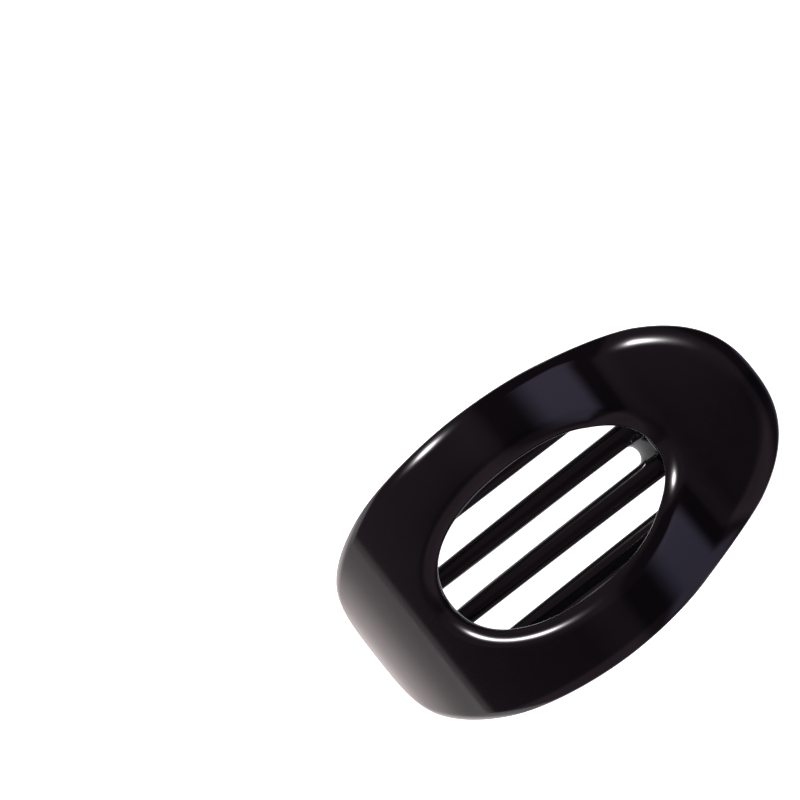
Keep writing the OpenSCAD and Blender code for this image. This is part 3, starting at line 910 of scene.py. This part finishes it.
room = {
    # a dim room as the gloss sees it: tones from the lip's side to the hinge's side, and what each side adds
    "lengthStops": ((-1.0, 0.09), (-0.72, 0.06), (-0.3, 0.04), (0.0, 0.1), (0.16, 0.1), (0.25, 0.03),
                    (1.0, 0.03)),
    "lengthTint": (1.0, 0.78, 1.0),
    "sideStops": ((-1.0, 0.28), (-0.45, 0.28), (-0.3, 0.12), (-0.18, 0.05), (-0.09, 0.04), (-0.066, 0.03),
                  (-0.042, 0.14), (0.0, 0.16), (1.0, 0.13)),
    "sideTint": (1.0, 0.7, 0.9), "sideFade": (0.0, 0.3), "sideLeast": 0.3,
    "lowGlow": 0.55, "lowGlowRise": (0.08, 0.02), "lowGlowFrom": (-0.5, -0.8), "lowTint": (1.0, 0.86, 0.88),
    # the key light's zenith angle and azimuth, and its tone at angles from its middle
    "keyAt": (39.5, 125.5), "keyTint": (1.0, 0.975, 0.985), "keyReach": 60.0,
    "keyStops": ((0.0, 42.0), (5.5, 32.0), (9.5, 5.2), (14.0, 1.2), (20.0, 0.1), (27.0, 0.01), (34.0, 0.0)),
    "panelTint": (0.69, 0.64, 1.0), "panelTone": 0.8, "panelEdge": (28.0, 46.0),
    "panelStops": ((-0.9, 0.0), (-0.75, 0.6), (-0.1, 0.83), (-0.03, 1.0), (0.12, 1.0), (0.24, 0.0)),
}


def direction(zenith, azimuth):
    z, a = math.radians(zenith), math.radians(azimuth)
    return Vector((math.sin(z) * math.cos(a), math.sin(z) * math.sin(a), math.cos(z)))


def tonedRamp(tree, place, value, stops, tint=(1, 1, 1), low=-1.0, high=1.0, most=1.0):
    # a colour ramp whose stops are given in the units of its input
    share = mapRange(tree, (place[0] - 200, place[1]), value, (low, high), smooth=False)
    shares = [((at - low) / (high - low), tone) for at, tone in stops]
    return colorRamp(tree, place, share, shares, tint, most)


def makeWorld():
    # pale to the camera; to the gloss, a dim room with a soft round key light and a wide cool panel
    world = bpy.data.worlds.new("studio")
    world.use_nodes = True
    tree = world.node_tree
    way = addNode(tree, "ShaderNodeTexCoord", (-1500, 0))
    parts = addNode(tree, "ShaderNodeSeparateXYZ", (-1300, 0), {"Vector": way.outputs["Generated"]})
    alongClip, acrossClip, upward = parts.outputs["X"], parts.outputs["Y"], parts.outputs["Z"]
    walls = tonedRamp(tree, (-900, 200), alongClip, room["lengthStops"], room["lengthTint"])
    sides = tonedRamp(tree, (-900, -50), acrossClip, room["sideStops"], room["sideTint"])
    fade = mapRange(tree, (-900, 500), alongClip, room["sideFade"], (1.0, room["sideLeast"]))
    faded = vectorNode(tree, (-600, 300), "SCALE", sides.outputs["Color"], fade)
    # the far floor's light, low down beyond the lip
    rise = mapRange(tree, (-1100, -300), upward, room["lowGlowRise"], (0.0, room["lowGlow"]))
    beyond = mapRange(tree, (-1100, -550), alongClip, room["lowGlowFrom"])
    both = mathNode(tree, (-850, -350), "MULTIPLY", rise, beyond)
    low = vectorNode(tree, (-600, -350), "SCALE", room["lowTint"], both)
    # key light: its tone falls with the angle from its middle
    facing = addNode(tree, "ShaderNodeVectorMath", (-1500, -800), {
        0: way.outputs["Generated"], 1: direction(*room["keyAt"])}, operation="DOT_PRODUCT")
    capped = mathNode(tree, (-1350, -800), "MINIMUM", facing.outputs["Value"], 1.0)
    angle = mathNode(tree, (-1200, -800), "ARCCOSINE", capped)
    brightest = room["keyStops"][0][1]
    keyStops = [(math.radians(degrees), tone) for degrees, tone in room["keyStops"]]
    key = tonedRamp(tree, (-850, -800), angle, keyStops, room["keyTint"],
                    0.0, math.radians(room["keyReach"]), brightest)
    key.color_ramp.interpolation = "B_SPLINE"
    keyed = vectorNode(tree, (-550, -800), "SCALE", key.outputs["Color"], brightest)
    # panel: soft at its upper edge and at both sides
    lean = mathNode(tree, (-1350, -1100), "ARCTAN2", alongClip, upward)
    enter = mapRange(tree, (-1100, -1100), lean, [math.radians(degrees) for degrees in room["panelEdge"]])
    spread = tonedRamp(tree, (-900, -1350), acrossClip, room["panelStops"])
    panel = mathNode(tree, (-600, -1150), "MULTIPLY", enter, spread.outputs["Color"])
    panelTone = [room["panelTone"] * c for c in room["panelTint"]]
    panelled = vectorNode(tree, (-400, -1100), "SCALE", panelTone, panel)
    wallsAndSides = vectorNode(tree, (-400, 100), "ADD", walls.outputs["Color"], faded)
    wallsAndGlow = vectorNode(tree, (-250, 0), "ADD", wallsAndSides, low)
    lamps = vectorNode(tree, (-250, -800), "ADD", keyed, panelled)
    mirrored = vectorNode(tree, (-50, -200), "ADD", wallsAndGlow, lamps)
    path = addNode(tree, "ShaderNodeLightPath", (-200, 400))
    tone = mixColors(tree, (200, 0), path.outputs["Is Camera Ray"], mirrored, (1.0, 1.0, 1.0, 1))
    setInputs(tree, tree.nodes["Background"], {"Color": tone})
    tree.nodes["Background"].location = (450, 0)
    tree.nodes["World Output"].location = (650, 0)
    scene.world = world


makeFloor()
makeWorld()

photoView = {"lens": 144.0, "sensor": 36.0, "place": (-0.01227, 0.04257, 0.7313), "turn": -38.136}
camera = addObject("photoCamera", bpy.data.cameras.new("photoCamera"))
camera.data.lens = photoView["lens"]
camera.data.sensor_width = photoView["sensor"]
camera.location = photoView["place"]
camera.rotation_euler = (0.0, 0.0, math.radians(photoView["turn"]))
scene.camera = camera
scene.view_settings.view_transform = "Standard"
print("stage and camera placed")
